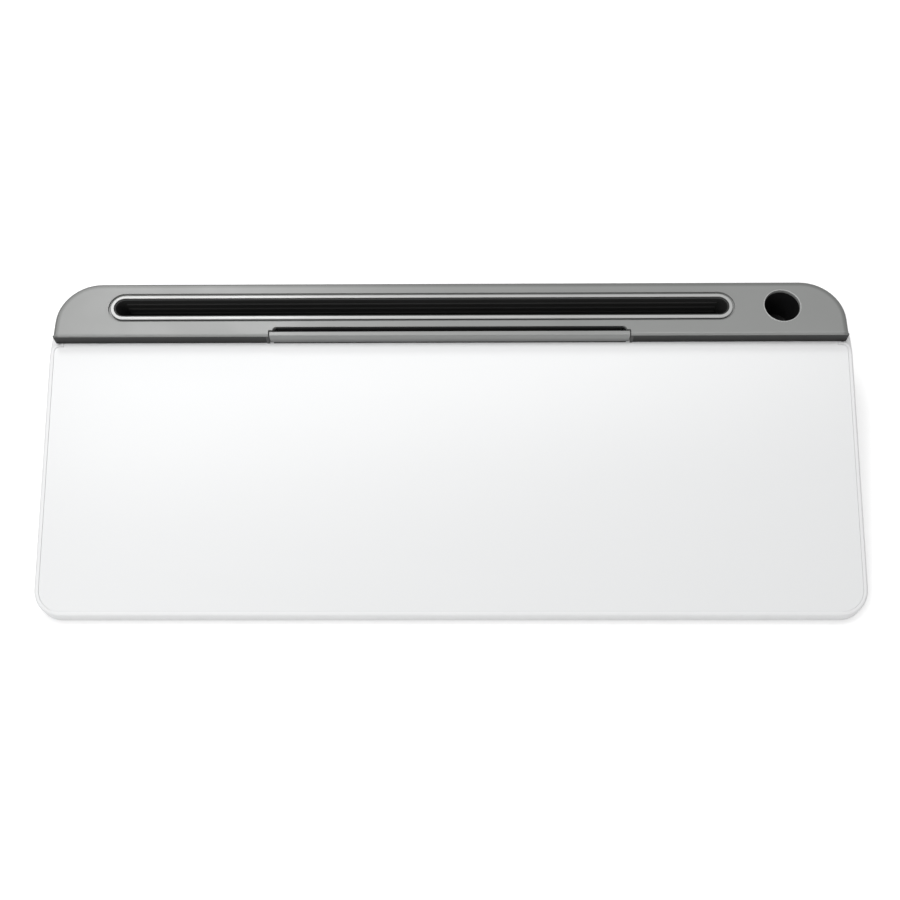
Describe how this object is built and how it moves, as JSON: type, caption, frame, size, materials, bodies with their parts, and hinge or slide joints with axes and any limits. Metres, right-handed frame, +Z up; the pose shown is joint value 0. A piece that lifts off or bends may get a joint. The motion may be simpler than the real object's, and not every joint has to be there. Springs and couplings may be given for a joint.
{
  "type": "desk whiteboard easel",
  "caption": "Sloping magnetic desk whiteboard on a white wedge body, with a grey rear tray for a device and pens, a sprung paper clip bar and fold-out legs.",
  "frame": {"origin": "bottom centre of the bounding box, on the desk, with the legs folded out", "axes": "+X to the user's right along the board, +Y to the rear, +Z up"},
  "size_m": [0.457, 0.1872, 0.0531],
  "materials": {
    "white_shell": "satin",
    "white_enamel": "gloss",
    "adhesive": "matte",
    "grey_plastic": "satin",
    "silver_trim": "satin",
    "dark_strip": "matte",
    "black_rubber": "matte",
    "black_plastic": "matte",
    "steel": "satin"
  },
  "bodies": {
    "body": {"top_shell": "white_shell", "base_tub": "white_shell", "writing_sheet": "white_enamel", "bonding_tape": "adhesive", "tray_cover": "grey_plastic", "slot_trough": "silver_trim", "front_strip_left": "dark_strip", "front_strip_right": "dark_strip", "slot_grip": "black_rubber", "pen_cup": "black_plastic", "slit_liner": "black_rubber", "front_feet": "black_rubber", "rear_feet": "black_rubber", "clip_pin": "steel", "clip_spring_left": "steel", "clip_spring_right": "steel", "leg_pin_left": "steel", "leg_pin_right": "steel", "tray_screws": "steel", "base_screws": "steel"},
    "clip": {"clip_bar": "grey_plastic", "clip_pad": "black_rubber"},
    "leg_left": {"leg_left": "grey_plastic", "leg_boot_left": "black_rubber"},
    "leg_right": {"leg_right": "grey_plastic", "leg_boot_right": "black_rubber"}
  },
  "joints": [
    {"name": "clip_hinge", "type": "hinge", "parent": "body", "child": "clip", "pos_m": [0, 0.06616, 0.04725], "axis": [-1, 0, 0], "range_deg": [0, 10], "stiffness_Nm_per_rad": 0.12, "springref_deg": -20.05, "deforming": ["clip_spring_left", "clip_spring_right"]},
    {"name": "leg_left_hinge", "type": "hinge", "parent": "body", "child": "leg_left", "pos_m": [-0.15, 0.06891, 0.02362], "axis": [-1, 0, 0], "range_deg": [0, 90.5]},
    {"name": "leg_right_hinge", "type": "hinge", "parent": "body", "child": "leg_right", "pos_m": [0.15, 0.06891, 0.02362], "axis": [-1, 0, 0], "range_deg": [0, 90.5]}
  ]
}
